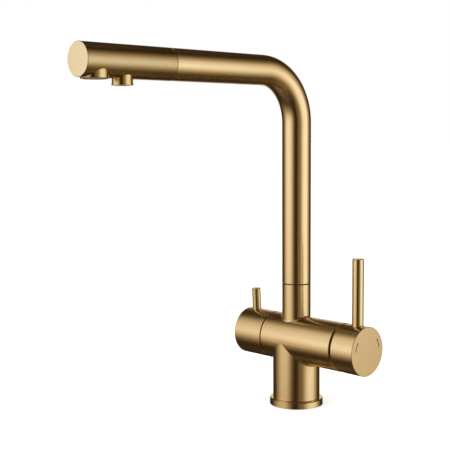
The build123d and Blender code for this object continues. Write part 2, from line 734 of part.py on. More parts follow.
with BuildPart() as filtered_water_tube:
    with BuildSketch(Plane.XY.offset(filter_tube_foot)):
        Circle(filter_tube_diameter / 2)
        Circle(filter_tube_bore / 2, mode=Mode.SUBTRACT)
    sweep(path=filter_tube_path.wire())
filtered_water_tube.part.label = "filtered_water_tube"
export_step(filtered_water_tube.part, "parts/filtered_water_tube.step")

# --------------------------------------------------------------------------------------------
# Mixer cartridge: fixed pieces
# --------------------------------------------------------------------------------------------

housing_bore_radius = cartridge_diameter / 2 - mixer_housing_wall

with BuildPart() as mixer_cartridge_base:
    with BuildSketch(right_plane(seat_x)):
        Circle(cartridge_diameter / 2 - seat_clearance)
    extrude(amount=cartridge_base_thickness)
    with BuildSketch(right_plane(seat_x)):
        with Locations((-locating_peg_y, -locating_peg_drop), (locating_peg_y, -locating_peg_drop)):
            Circle(locating_peg_diameter / 2)
    extrude(amount=-locating_peg_length)
    with BuildSketch(right_plane(seat_x)):
        with Locations(*mixer_port_centres):
            Circle(port_seal_diameter / 2 + seat_clearance)
    extrude(amount=port_seal_thickness, mode=Mode.SUBTRACT)
    with BuildSketch(right_plane(seat_x)):
        with Locations(*mixer_port_centres):
            Circle(port_diameter / 2)
    extrude(amount=cartridge_base_thickness, mode=Mode.SUBTRACT)
mixer_cartridge_base.part.label = "mixer_cartridge_base"
export_step(mixer_cartridge_base.part, "parts/mixer_cartridge_base.step")

with BuildPart() as mixer_port_seals:
    with BuildSketch(right_plane(seat_x)):
        with Locations(*mixer_port_centres):
            Circle(port_seal_diameter / 2)
        with Locations(*mixer_port_centres):
            Circle(port_diameter / 2, mode=Mode.SUBTRACT)
    extrude(amount=port_seal_thickness)
mixer_port_seals.part.label = "mixer_port_seals"
export_step(mixer_port_seals.part, "parts/mixer_port_seals.step")

with BuildPart() as mixer_fixed_disc:
    with BuildSketch(right_plane(disc_x)):
        Circle(fixed_disc_diameter / 2)
        with Locations(*mixer_port_centres):
            Circle(port_diameter / 2, mode=Mode.SUBTRACT)
    extrude(amount=mixer_disc_thickness)
mixer_fixed_disc.part.label = "mixer_fixed_disc"
export_step(mixer_fixed_disc.part, "parts/mixer_fixed_disc.step")

with BuildPart() as mixer_cartridge_housing:
    with BuildSketch(right_plane(disc_x)):
        Circle(cartridge_diameter / 2)
    extrude(amount=shoulder_x - disc_x)
    with BuildSketch(right_plane(shoulder_x)):
        Circle(housing_neck_diameter / 2)
    extrude(amount=housing_neck_length)
    with BuildSketch(right_plane(disc_x)):
        Circle(housing_bore_radius)
    extrude(amount=housing_ceiling_x - disc_x, mode=Mode.SUBTRACT)
    with BuildSketch(right_plane(housing_ceiling_x)):
        Circle(rotor_neck_diameter / 2 + running_clearance)
    extrude(amount=neck_x - housing_ceiling_x, mode=Mode.SUBTRACT)
mixer_cartridge_housing.part.label = "mixer_cartridge_housing"
export_step(mixer_cartridge_housing.part, "parts/mixer_cartridge_housing.step")

with BuildPart() as mixer_retaining_nut:
    with BuildSketch(right_plane(shoulder_x)):
        Circle(nut_thread_diameter / 2 - seat_clearance)
        Circle(housing_neck_diameter / 2 + face_clearance, mode=Mode.SUBTRACT)
    extrude(amount=nut_height)
    with BuildSketch(right_plane(shoulder_x + nut_height)):
        with PolarLocations(nut_thread_diameter / 2, nut_slot_count, start_angle=45):
            Rectangle(nut_thread_diameter / 4, nut_slot_width)
    extrude(amount=-nut_slot_depth, mode=Mode.SUBTRACT)
mixer_retaining_nut.part.label = "mixer_retaining_nut"
export_step(mixer_retaining_nut.part, "parts/mixer_retaining_nut.step")

# --------------------------------------------------------------------------------------------
# Mixer cartridge: the rotor turns, the stem tips in it and drives the sliding disc
# --------------------------------------------------------------------------------------------

tilt = radians(mixer_tilt)
tilted_half_width = stem_width / 2 / cos(tilt)
slot_floor = -((rotor_top_x - pivot_x) * tan(tilt) + tilted_half_width + tilt_clearance)
slot_ceiling = stem_width / 2 + stem_root * sin(tilt) + tilt_clearance

with BuildPart() as mixer_rotor:
    with BuildSketch(right_plane(rotor_x)):
        Circle(rotor_flange_diameter / 2)
    extrude(amount=housing_ceiling_x - face_clearance - rotor_x)
    with BuildSketch(right_plane(rotor_x)):
        Circle(rotor_neck_diameter / 2)
    extrude(amount=rotor_top_x - rotor_x)
    with BuildSketch(right_plane(carrier_x + face_clearance)):
        Circle(rotor_flange_diameter / 2)
        Rectangle(
            carrier_flat_width + 2 * face_clearance,
            rotor_flange_diameter,
            mode=Mode.SUBTRACT,
        )
    extrude(amount=rotor_x - carrier_x - face_clearance)
    with BuildSketch(right_plane(rotor_x)):
        with Locations((0, (slot_ceiling + slot_floor) / 2)):
            Rectangle(stem_width + 2 * face_clearance, slot_ceiling - slot_floor)
    extrude(amount=rotor_top_x - rotor_x, mode=Mode.SUBTRACT)
    with BuildSketch(Plane.XZ.offset(pivot_pin_length / 2)):
        with Locations((pivot_x, cross_height)):
            Circle(pivot_pin_diameter / 2)
    extrude(amount=-pivot_pin_length, mode=Mode.SUBTRACT)
mixer_rotor.part.label = "mixer_rotor"
export_step(mixer_rotor.part, "parts/mixer_rotor.step")

with BuildPart() as mixer_pivot_pin:
    with BuildSketch(Plane.XZ.offset(pivot_pin_length / 2)):
        with Locations((pivot_x, cross_height)):
            Circle(pivot_pin_diameter / 2)
    extrude(amount=-pivot_pin_length)
mixer_pivot_pin.part.label = "mixer_pivot_pin"
export_step(mixer_pivot_pin.part, "parts/mixer_pivot_pin.step")

with BuildPart() as mixer_moving_disc:
    with BuildSketch(right_plane(moving_disc_x)):
        Circle(moving_disc_diameter / 2)
    extrude(amount=mixer_disc_thickness)
    with BuildSketch(right_plane(moving_disc_x)):
        with Locations((0, port_drop)):
            Circle(port_diameter)
    extrude(amount=mixer_disc_thickness / 2, mode=Mode.SUBTRACT)
mixer_moving_disc.part.label = "mixer_moving_disc"
export_step(mixer_moving_disc.part, "parts/mixer_moving_disc.step")

with BuildPart() as mixer_disc_carrier:
    with BuildSketch(right_plane(carrier_x)):
        Circle(carrier_diameter / 2)
        Rectangle(carrier_flat_width, carrier_diameter, mode=Mode.INTERSECT)
    extrude(amount=carrier_thickness)
    with BuildSketch(right_plane(ball_x - stem_ball_diameter / 2 - face_clearance)):
        Circle(stem_ball_diameter / 2 + 2 * running_clearance)
    extrude(amount=carrier_thickness, mode=Mode.SUBTRACT)
mixer_disc_carrier.part.label = "mixer_disc_carrier"
export_step(mixer_disc_carrier.part, "parts/mixer_disc_carrier.step")

# --------------------------------------------------------------------------------------------
# Mixer handle
# --------------------------------------------------------------------------------------------

stem_end_x = mixer_hub_x + stem_grip
mixer_screw_tip = stem_width / 2 + seat_clearance

with BuildPart() as mixer_stem:
    with BuildSketch(right_plane(pivot_x - stem_root)):
        Rectangle(stem_width, stem_width)
    extrude(amount=stem_end_x - pivot_x + stem_root)
    with BuildSketch(right_plane(ball_x)):
        Circle(stem_shank_diameter / 2)
    extrude(amount=stem_arm - stem_root)
    with Locations((ball_x, 0, cross_height)):
        Sphere(stem_ball_diameter / 2)
    with BuildSketch(Plane.XZ.offset(stem_width)):
        with Locations((pivot_x, cross_height)):
            Circle(pivot_pin_diameter / 2 + running_clearance)
    extrude(amount=-2 * stem_width, mode=Mode.SUBTRACT)
mixer_stem.part.label = "mixer_stem"
export_step(mixer_stem.part, "parts/mixer_stem.step")

hot_arcs = [CenterArc((0, 0), mark_radius, 90 + start, span) for start, span in mark_dashes]
cold_arcs = [CenterArc((0, 0), mark_radius, 90 - start - span, span) for start, span in mark_dashes]

with BuildPart() as mixer_handle_cap:
    with BuildSketch(right_plane(mixer_cap_x)):
        Circle(cross_radius)
    extrude(amount=mixer_cap_length)
    chamfer(mixer_handle_cap.faces().sort_by(Axis.X)[-1].edges(), mixer_cap_edge)
    chamfer(mixer_handle_cap.faces().sort_by(Axis.X)[0].edges(), seam_edge)
    with BuildSketch(right_plane(mixer_cap_x)):
        Circle(cross_radius - mixer_cap_wall)
    extrude(amount=mixer_cap_recess, mode=Mode.SUBTRACT)
    with BuildSketch(right_plane(mixer_hub_x)):
        Rectangle(stem_width + 2 * seat_clearance, stem_width + 2 * seat_clearance)
    extrude(amount=stem_grip + face_clearance, mode=Mode.SUBTRACT)
    # Groove, seat and thread of the lever pin
    with BuildSketch(lever_plane(mixer_pin_x, cross_radius, 0)):
        Circle(mixer_pin_diameter / 2 + pin_groove_width)
    extrude(amount=-pin_groove_depth, mode=Mode.SUBTRACT)
    with BuildSketch(lever_plane(mixer_pin_x, cross_radius, 0)):
        Circle(mixer_pin_diameter / 2 + seat_clearance)
    extrude(amount=-pin_seat, mode=Mode.SUBTRACT)
    with BuildSketch(lever_plane(mixer_pin_x, cross_radius, 0)):
        Circle(mixer_pin_thread / 2 + seat_clearance)
    extrude(amount=-(pin_seat + pin_thread_length + face_clearance), mode=Mode.SUBTRACT)
    # Set screw's hole, under the stem
    with BuildSketch(lever_plane(mixer_pin_x, -cross_radius, 0)):
        Circle(set_screw_diameter / 2 + seat_clearance)
    extrude(amount=cross_radius - stem_width / 2, mode=Mode.SUBTRACT)
    # Tapered flat that lets the handle tip outwards
    with BuildSketch(Plane.XZ):
        with BuildLine():
            Polyline(
                (mixer_cap_x, cross_height - cross_radius + mixer_cap_relief),
                (mixer_face_x, cross_height - cross_radius),
                (mixer_face_x, cross_height - cross_diameter),
                (mixer_cap_x, cross_height - cross_diameter),
                close=True,
            )
        make_face()
    extrude(amount=cross_radius, both=True, mode=Mode.SUBTRACT)
    # Recesses for the hot and cold marks
    with BuildSketch(right_plane(mixer_face_x)):
        for arc in hot_arcs + cold_arcs:
            SlotArc(arc, mark_width)
    extrude(amount=-mark_depth, mode=Mode.SUBTRACT)
mixer_handle_cap.part.label = "mixer_handle_cap"
export_step(mixer_handle_cap.part, "parts/mixer_handle_cap.step")

with BuildPart() as hot_mark:
    with BuildSketch(right_plane(mixer_face_x)):
        for arc in hot_arcs:
            SlotArc(arc, mark_width)
    extrude(amount=-mark_depth)
hot_mark.part.label = "hot_mark"
export_step(hot_mark.part, "parts/hot_mark.step")

with BuildPart() as cold_mark:
    with BuildSketch(right_plane(mixer_face_x)):
        for arc in cold_arcs:
            SlotArc(arc, mark_width)
    extrude(amount=-mark_depth)
cold_mark.part.label = "cold_mark"
export_step(cold_mark.part, "parts/cold_mark.step")

with BuildPart() as mixer_lever_pin:
    with BuildSketch(lever_plane(mixer_pin_x, cross_radius - pin_seat, 0)):
        Circle(mixer_pin_diameter / 2)
    extrude(amount=pin_seat + mixer_pin_length)
    chamfer(mixer_lever_pin.faces().sort_by(Axis.Z)[-1].edges(), pin_edge)
    with BuildSketch(lever_plane(mixer_pin_x, cross_radius - pin_seat, 0)):
        Circle(mixer_pin_thread / 2)
    extrude(amount=-pin_thread_length)
mixer_lever_pin.part.label = "mixer_lever_pin"
export_step(mixer_lever_pin.part, "parts/mixer_lever_pin.step")

with BuildPart() as mixer_set_screw:
    with BuildSketch(lever_plane(mixer_pin_x, -mixer_screw_tip, 0)):
        Circle(set_screw_diameter / 2)
    extrude(amount=-set_screw_length)
    with BuildSketch(lever_plane(mixer_pin_x, -mixer_screw_tip - set_screw_length, 0)):
        RegularPolygon(set_screw_socket / 2, 6, major_radius=False)
    extrude(amount=set_screw_socket_depth, mode=Mode.SUBTRACT)
mixer_set_screw.part.label = "mixer_set_screw"
export_step(mixer_set_screw.part, "parts/mixer_set_screw.step")

# --------------------------------------------------------------------------------------------
# Filter valve: a quarter-turn ceramic disc valve
# --------------------------------------------------------------------------------------------

filter_spindle_end_x = filter_hub_x - filter_spindle_grip
filter_spindle_radius = filter_spindle_diameter / 2
circlip_x = filter_neck_end_x - face_clearance
filter_windows = (-1, 1)

with BuildPart() as filter_valve_body:
    with BuildSketch(left_plane(filter_fixed_x)):
        Circle(filter_thread_diameter / 2)
    extrude(amount=filter_fixed_x - filter_hex_x)
    with BuildSketch(left_plane(filter_hex_x)):
        RegularPolygon(filter_hex_across_flats / 2, 6, major_radius=False)
    extrude(amount=filter_hex_length)
    with BuildSketch(left_plane(filter_neck_x)):
        Circle(filter_neck_diameter / 2)
    extrude(amount=filter_neck_length)
    with BuildSketch(left_plane(filter_fixed_x)):
        Circle(filter_body_bore / 2)
    extrude(amount=filter_fixed_x - filter_cavity_x, mode=Mode.SUBTRACT)
    with BuildSketch(left_plane(filter_cavity_x)):
        Circle(filter_spindle_radius + running_clearance)
    extrude(amount=filter_cavity_x - filter_neck_end_x, mode=Mode.SUBTRACT)
    with BuildSketch(left_plane(filter_foot_x)):
        for side in filter_windows:
            with Locations((0, side * filter_thread_diameter / 2)):
                Rectangle(filter_window_width, filter_thread_diameter / 2)
    extrude(amount=filter_window_length, mode=Mode.SUBTRACT)
filter_valve_body.part.label = "filter_valve_body"
export_step(filter_valve_body.part, "parts/filter_valve_body.step")

with BuildPart() as filter_seat_seal:
    with BuildSketch(left_plane(filter_seat_x)):
        Circle(filter_disc_diameter / 2)
        Circle(filter_seat_hole / 2, mode=Mode.SUBTRACT)
    extrude(amount=filter_seal_thickness)
filter_seat_seal.part.label = "filter_seat_seal"
export_step(filter_seat_seal.part, "parts/filter_seat_seal.step")

with BuildPart() as filter_fixed_disc:
    with BuildSketch(left_plane(filter_fixed_x)):
        Circle(filter_disc_diameter / 2)
        with PolarLocations(filter_port_offset, 2):
            Circle(filter_port_diameter / 2, mode=Mode.SUBTRACT)
    extrude(amount=filter_disc_thickness)
filter_fixed_disc.part.label = "filter_fixed_disc"
export_step(filter_fixed_disc.part, "parts/filter_fixed_disc.step")

with BuildPart() as filter_moving_disc:
    with BuildSketch(left_plane(filter_moving_x)):
        Circle(filter_disc_diameter / 2)
        with PolarLocations(filter_port_offset, 2, start_angle=90):
            Circle(filter_port_diameter / 2, mode=Mode.SUBTRACT)
    extrude(amount=filter_disc_thickness)
    with BuildSketch(left_plane(filter_foot_x)):
        Rectangle(filter_disc_diameter, filter_tab_width + 2 * seat_clearance)
    extrude(amount=-filter_tab_height - seat_clearance, mode=Mode.SUBTRACT)
filter_moving_disc.part.label = "filter_moving_disc"
export_step(filter_moving_disc.part, "parts/filter_moving_disc.step")

with BuildPart() as filter_spindle:
    with BuildSketch(left_plane(filter_foot_x)):
        Circle(filter_foot_diameter / 2)
    extrude(amount=filter_foot_thickness)
    with BuildSketch(left_plane(filter_foot_x)):
        Rectangle(filter_foot_diameter - filter_tab_width / 2, filter_tab_width)
    extrude(amount=-filter_tab_height)
    with BuildSketch(left_plane(filter_foot_x)):
        Circle(filter_spindle_radius)
    extrude(amount=filter_foot_x - filter_spindle_end_x)
    for offset in spindle_seal_offsets:
        with BuildSketch(left_plane(filter_hex_x - offset)):
            Circle(filter_spindle_radius)
            Circle(filter_spindle_radius - spindle_seal_section, mode=Mode.SUBTRACT)
        extrude(amount=spindle_seal_section + face_clearance, mode=Mode.SUBTRACT)
    with BuildSketch(left_plane(circlip_x)):
        Circle(filter_spindle_radius)
        Circle(filter_spindle_radius - circlip_thickness, mode=Mode.SUBTRACT)
    extrude(amount=circlip_thickness + seat_clearance, mode=Mode.SUBTRACT)
filter_spindle.part.label = "filter_spindle"
export_step(filter_spindle.part, "parts/filter_spindle.step")

with BuildPart() as filter_spindle_o_rings:
    with BuildSketch(Plane.XZ):
        for offset in spindle_seal_offsets:
            with Locations(
                (
                    filter_hex_x - offset - (spindle_seal_section + face_clearance) / 2,
                    cross_height + filter_spindle_radius - spindle_seal_section / 2,
                )
            ):
                Circle(spindle_seal_section / 2)
    revolve(axis=cross_axis)
filter_spindle_o_rings.part.label = "filter_spindle_o_rings"
export_step(filter_spindle_o_rings.part, "parts/filter_spindle_o_rings.step")

with BuildPart() as filter_spindle_circlip:
    with BuildSketch(left_plane(circlip_x)):
        Circle(circlip_diameter / 2)
        Circle(filter_spindle_radius - circlip_thickness + seat_clearance, mode=Mode.SUBTRACT)
        with Locations((0, -circlip_diameter / 2)):
            Rectangle(filter_spindle_radius, circlip_diameter, mode=Mode.SUBTRACT)
    extrude(amount=circlip_thickness)
filter_spindle_circlip.part.label = "filter_spindle_circlip"
export_step(filter_spindle_circlip.part, "parts/filter_spindle_circlip.step")

# --------------------------------------------------------------------------------------------
# Filter handle
# --------------------------------------------------------------------------------------------

filter_screw_tip = filter_spindle_radius + seat_clearance

with BuildPart() as filter_handle_cap:
    with BuildSketch(left_plane(filter_cap_x)):
        Circle(cross_radius)
    extrude(amount=filter_cap_length)
    chamfer(filter_handle_cap.faces().sort_by(Axis.X)[0].edges(), filter_cap_edge)
    chamfer(filter_handle_cap.faces().sort_by(Axis.X)[-1].edges(), seam_edge)
    with BuildSketch(left_plane(filter_cap_x)):
        Circle(cross_radius - filter_cap_wall)
    extrude(amount=filter_cap_recess, mode=Mode.SUBTRACT)
    with BuildSketch(left_plane(filter_hub_x)):
        Circle(filter_spindle_radius + seat_clearance)
    extrude(amount=filter_spindle_grip + face_clearance, mode=Mode.SUBTRACT)
    # Groove, seat and thread of the lever pin
    with BuildSketch(lever_plane(filter_pin_x, cross_radius, filter_pin_lean)):
        Circle(filter_pin_diameter / 2 + pin_groove_width)
    extrude(amount=-pin_groove_depth, mode=Mode.SUBTRACT)
    with BuildSketch(lever_plane(filter_pin_x, cross_radius, filter_pin_lean)):
        Circle(filter_pin_diameter / 2 + seat_clearance)
    extrude(amount=-pin_seat, mode=Mode.SUBTRACT)
    with BuildSketch(lever_plane(filter_pin_x, cross_radius, filter_pin_lean)):
        Circle(filter_pin_thread / 2 + seat_clearance)
    extrude(amount=-(pin_seat + pin_thread_length + face_clearance), mode=Mode.SUBTRACT)
    # Set screw's hole, opposite the lever pin
    with BuildSketch(lever_plane(filter_pin_x, -cross_radius, filter_pin_lean)):
        Circle(set_screw_diameter / 2 + seat_clearance)
    extrude(amount=cross_radius - filter_spindle_radius, mode=Mode.SUBTRACT)
filter_handle_cap.part.label = "filter_handle_cap"
export_step(filter_handle_cap.part, "parts/filter_handle_cap.step")

with BuildPart() as filter_lever_pin:
    with BuildSketch(lever_plane(filter_pin_x, cross_radius - pin_seat, filter_pin_lean)):
        Circle(filter_pin_diameter / 2)
    extrude(amount=pin_seat + filter_pin_length)
    chamfer(filter_lever_pin.faces().sort_by(Axis.Z)[-1].edges(), pin_edge)
    with BuildSketch(lever_plane(filter_pin_x, cross_radius - pin_seat, filter_pin_lean)):
        Circle(filter_pin_thread / 2)
    extrude(amount=-pin_thread_length)
filter_lever_pin.part.label = "filter_lever_pin"
export_step(filter_lever_pin.part, "parts/filter_lever_pin.step")

with BuildPart() as filter_set_screw:
    with BuildSketch(lever_plane(filter_pin_x, -filter_screw_tip, filter_pin_lean)):
        Circle(set_screw_diameter / 2)
    extrude(amount=-set_screw_length)
    with BuildSketch(lever_plane(filter_pin_x, -filter_screw_tip - set_screw_length, filter_pin_lean)):
        RegularPolygon(set_screw_socket / 2, 6, major_radius=False)
    extrude(amount=set_screw_socket_depth, mode=Mode.SUBTRACT)
filter_set_screw.part.label = "filter_set_screw"
export_step(filter_set_screw.part, "parts/filter_set_screw.step")
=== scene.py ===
"""Three way filtered water tap: its finishes, its camera and its studio.

Metres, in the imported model's frame: +Z up, the cross-body along X with the mixer at +X, and the
spout along -Y. The tap is brass with a brushed gold coating, so what it reflects makes its look:
a black tent with soft windows stands round it, as for a product photograph.
"""

import json
from math import atan2, cos, degrees, radians, sin

import bpy
from mathutils import Matrix, Vector


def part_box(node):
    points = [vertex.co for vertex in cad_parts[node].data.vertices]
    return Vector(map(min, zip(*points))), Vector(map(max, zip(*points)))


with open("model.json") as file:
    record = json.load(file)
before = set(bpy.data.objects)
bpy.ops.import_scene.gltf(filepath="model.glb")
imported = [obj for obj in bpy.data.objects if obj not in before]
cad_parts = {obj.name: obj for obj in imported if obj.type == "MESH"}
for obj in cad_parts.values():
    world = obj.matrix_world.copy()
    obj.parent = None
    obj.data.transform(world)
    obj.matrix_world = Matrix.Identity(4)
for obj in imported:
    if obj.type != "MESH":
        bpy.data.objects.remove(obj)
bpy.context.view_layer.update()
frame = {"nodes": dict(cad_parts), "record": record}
bpy.ops.object.select_all(action="DESELECT")
nodes = frame["nodes"]

mm = 0.001

# --------------------------------------------------------------------------------------------
# Places taken from the frame
# --------------------------------------------------------------------------------------------

mixer_cap_low, mixer_cap_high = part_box("mixer_handle_cap")
head_low, head_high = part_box("spout_head")
cross_radius = (mixer_cap_high.z - mixer_cap_low.z) / 2
cross_height = (mixer_cap_high.z + mixer_cap_low.z) / 2
spout_height = (head_high.z + head_low.z) / 2
spout_bend_radius = 48 * mm
spout_bend_height = spout_height - spout_bend_radius

# --------------------------------------------------------------------------------------------
# Colours and nodes
# --------------------------------------------------------------------------------------------


def colour(hex_code):
    """An sRGB hex colour as the linear colour that a shader takes."""
    parts = [int(hex_code[i : i + 2], 16) / 255 for i in (1, 3, 5)]
    linear = [c / 12.92 if c <= 0.04045 else ((c + 0.055) / 1.055) ** 2.4 for c in parts]
    return (*linear, 1.0)


def add(tree, kind, inputs=None, **settings):
    """Adds a node with its settings, and sets or links its inputs by name or number."""
    node = tree.nodes.new(kind)
    for name, value in settings.items():
        setattr(node, name, value)
    for name, value in (inputs or {}).items():
        if isinstance(value, bpy.types.NodeSocket):
            tree.links.new(value, node.inputs[name])
        else:
            node.inputs[name].default_value = value
    return node


def new_material(name):
    """An empty node material, with its tree and its output node."""
    material = bpy.data.materials.new(name)
    material.use_nodes = True
    tree = material.node_tree
    tree.nodes.clear()
    return material, tree, add(tree, "ShaderNodeOutputMaterial")


# --------------------------------------------------------------------------------------------
# Brushed gold: brass, polished, brushed round each turned piece and coated by vapour
# --------------------------------------------------------------------------------------------

X_AXIS, Y_AXIS, Z_AXIS = (1, 0, 0), (0, 1, 0), (0, 0, 1)
SPOUT_END = (0, -1, 0)  # the way that the flat end of the spout looks

cross_surface_margin = 0.3 * mm  # a point this near the cross-body's radius is on its surface
line_spacing = 0.8 * mm
line_depth = 0.0002 * mm
line_drift = 25 * mm  # how far along a brushed line its strength changes
cloud_size = 18 * mm  # patches where the brushing is a little rougher or finer
roughness_spread = 0.01
end_face_tilt = 0.05  # a surface is the flat end if the cosine of its lean is this near to 1


def grain_round_axis(tree, place, axis):
    """The brush went round one straight axis. Gives the axis and the distance along it."""
    along = add(tree, "ShaderNodeVectorMath", {0: place, 1: axis}, operation="DOT_PRODUCT")
    return axis, along.outputs["Value"]


def grain_of_body(tree, place):
    """Round X on the cross-body, and round Z on the column and the stub."""
    centred = add(
        tree, "ShaderNodeVectorMath", {0: place, 1: (0, 0, cross_height)}, operation="SUBTRACT"
    )
    flat = add(
        tree, "ShaderNodeVectorMath", {0: centred.outputs[0], 1: (0, 1, 1)}, operation="MULTIPLY"
    )
    radius = add(tree, "ShaderNodeVectorMath", {0: flat.outputs[0]}, operation="LENGTH")
    on_cross = add(
        tree,
        "ShaderNodeMath",
        {0: radius.outputs["Value"], 1: cross_radius, 2: cross_surface_margin},
        operation="COMPARE",
    )
    axis = add(
        tree,
        "ShaderNodeMix",
        {"Factor": on_cross.outputs[0], 4: Z_AXIS, 5: X_AXIS},
        data_type="VECTOR",
    )
    return grain_round_axis(tree, place, axis.outputs[1])


def grain_of_spout(tree, place):
    """Round the spout's own centre line, up its rise, through its bend and along its level run."""
    split = add(tree, "ShaderNodeSeparateXYZ", {0: place})
    behind = add(
        tree, "ShaderNodeMath", {0: split.outputs["Y"], 1: spout_bend_radius}, operation="ADD"
    )
    above = add(
        tree, "ShaderNodeMath", {0: split.outputs["Z"], 1: spout_bend_height}, operation="SUBTRACT"
    )
    out_y = add(tree, "ShaderNodeMath", {0: behind.outputs[0], 1: 0.0}, operation="MAXIMUM")
    out_z = add(tree, "ShaderNodeMath", {0: above.outputs[0], 1: 0.0}, operation="MAXIMUM")
    back_z = add(tree, "ShaderNodeMath", {0: out_z.outputs[0], 1: -1.0}, operation="MULTIPLY")
    axis = add(tree, "ShaderNodeCombineXYZ", {"Y": back_z.outputs[0], "Z": out_y.outputs[0]})
    axis = add(tree, "ShaderNodeVectorMath", {0: axis.outputs[0]}, operation="NORMALIZE")
    angle = add(
        tree, "ShaderNodeMath", {0: out_z.outputs[0], 1: out_y.outputs[0]}, operation="ARCTAN2"
    )
    rise = add(tree, "ShaderNodeMath", {0: above.outputs[0], 1: 0.0}, operation="MINIMUM")
    run = add(tree, "ShaderNodeMath", {0: behind.outputs[0], 1: 0.0}, operation="MINIMUM")
    straight = add(
        tree, "ShaderNodeMath", {0: rise.outputs[0], 1: run.outputs[0]}, operation="SUBTRACT"
    )
    along = add(
        tree,
        "ShaderNodeMath",
        {0: angle.outputs[0], 1: spout_bend_radius, 2: straight.outputs[0]},
        operation="MULTIPLY_ADD",
    )
    return axis.outputs[0], along.outputs[0]


def gold(name, hex_code, roughness, anisotropy, grain, faced=None):
    """Metal that was turned, then brushed round its axis. Most of it is brass coated in gold.

    The brush leaves fine lines round the piece, which draw each reflection out along it. Real
    lines are about 0.1 mm apart, too fine to show here, so they are drawn about 0.8 mm apart and
    faint. A faced piece also gives the way that its flat end looks, and that end's colour and
    roughness: the end was cut smooth, so it reflects more evenly than the brushed round. The end's
    colour can be paler than the gold, as a painted highlight on that face.
    """
    material, tree, output = new_material(name)
    place = add(tree, "ShaderNodeTexCoord").outputs["Object"]
    axis, along = grain(tree, place)
    axis = add(
        tree,
        "ShaderNodeVectorTransform",
        {"Vector": axis},
        vector_type="VECTOR",
        convert_from="OBJECT",
        convert_to="WORLD",
    )
    cloud = add(
        tree, "ShaderNodeTexNoise", {"Vector": place, "Scale": 1 / cloud_size, "Detail": 3.0}
    )
    rough = add(
        tree,
        "ShaderNodeMapRange",
        {
            "Value": cloud.outputs["Fac"],
            "From Min": 0.3,
            "From Max": 0.7,
            "To Min": roughness - roughness_spread,
            "To Max": roughness + roughness_spread,
        },
    )
    base, rough = colour(hex_code), rough.outputs["Result"]
    if faced:
        way, end_colour_and_highlight, end_roughness = faced
        facing = add(tree, "ShaderNodeTexCoord").outputs["Normal"]
        facing = add(tree, "ShaderNodeVectorMath", {0: facing, 1: way}, operation="DOT_PRODUCT")
        flat = add(
            tree,
            "ShaderNodeMath",
            {0: facing.outputs["Value"], 1: 1.0, 2: end_face_tilt},
            operation="COMPARE",
        )
        # The flat end's colour: on the spout head it is near white, a painted highlight on the gold
        # end face
        base = add(
            tree,
            "ShaderNodeMix",
            {"Factor": flat.outputs[0], 6: base, 7: colour(end_colour_and_highlight)},
            data_type="RGBA",
        )
        base = base.outputs[2]
        rough = add(
            tree, "ShaderNodeMix", {"Factor": flat.outputs[0], 2: rough, 3: end_roughness}
        )
        rough = rough.outputs[0]
    # The small upright part gives the flat end faces a grain too
    tangent = add(
        tree, "ShaderNodeVectorMath", {0: axis.outputs[0], 1: (0, 0, 0.02)}, operation="ADD"
    )
    lines = add(tree, "ShaderNodeMath", {0: along, 1: 1 / line_spacing}, operation="MULTIPLY")
    lines = add(tree, "ShaderNodeCombineXYZ", {"X": lines.outputs[0]})
    drift = 1 / line_drift
    brushed = add(
        tree,
        "ShaderNodeVectorMath",
        {0: place, 1: (drift, drift, drift), 2: lines.outputs[0]},
        operation="MULTIPLY_ADD",
    )
    brushed = add(
        tree,
        "ShaderNodeTexNoise",
        {"Vector": brushed.outputs[0], "Scale": 1.0, "Detail": 2.0, "Roughness": 0.6},
    )
    bump = add(
        tree,
        "ShaderNodeBump",
        {"Height": brushed.outputs["Fac"], "Strength": 0.6, "Distance": line_depth},
    )
    shader = add(
        tree,
        "ShaderNodeBsdfPrincipled",
        {
            "Base Color": base,
            "Metallic": 1.0,
            "Roughness": rough,
            "Anisotropic": anisotropy,
            "Normal": bump.outputs["Normal"],
            "Tangent": tangent.outputs[0],
        },
    )
    tree.links.new(shader.outputs[0], output.inputs["Surface"])
    return material


def round_x(tree, place):
    return grain_round_axis(tree, place, X_AXIS)


def round_y(tree, place):
    return grain_round_axis(tree, place, Y_AXIS)


def round_z(tree, place):
    return grain_round_axis(tree, place, Z_AXIS)


brushed = "#F0DAAB"
# Satin gold: one soft highlight along each cylinder of the body
gold_body = gold("brushed_gold_body", brushed, 0.26, 0.6, grain_of_body)
# The same on the tube, where the highlight follows the bend
gold_spout = gold("brushed_gold_spout", brushed, 0.25, 0.65, grain_of_spout)
# The same round the caps, with a flat face on the mixer's that is even in tone
gold_cap = gold("brushed_gold_cap", brushed, 0.28, 0.5, round_x, faced=(X_AXIS, "#E8D6AE", 0.18))
# Smoother brushing on the lever pins: a narrow bright line up each
gold_pin = gold("brushed_gold_pin", brushed, 0.22, 0.7, round_z)
# The flange: a bright patch where its low rim turns towards each softbox
gold_flange = gold("brushed_gold_flange", brushed, 0.24, 0.5, round_z)
# The head: a duller gold than the tube's. Its smooth end face is coloured near white, a painted
# highlight on top of the gold
gold_head = gold(
    "brushed_gold_head", "#CCB88B", 0.28, 0.6, round_y, faced=(SPOUT_END, "#FFF8DA", 0.14)
)
# Polished outlet rings: clearer reflections, with darker bands between them
gold_outlet = gold("polished_gold_outlet", "#DFC48F", 0.17, 0.6, round_z)
# Plain turned brass, yellower than the coating, on the pieces inside
plain_brass = gold("turned_brass", "#E5C878", 0.25, 0.4, round_x)
# Stainless steel, a neutral grey, on the screws, clip, pivot and stem
steel = gold("stainless_steel", "#C9C9C6", 0.28, 0.3, round_x)


# --------------------------------------------------------------------------------------------
# Plastics, rubber, ceramic and paint
# --------------------------------------------------------------------------------------------


tint = 0.06  # how much darker the clouds in a moulded piece are
tint_size = 12 * mm
gloss_spread = 0.06


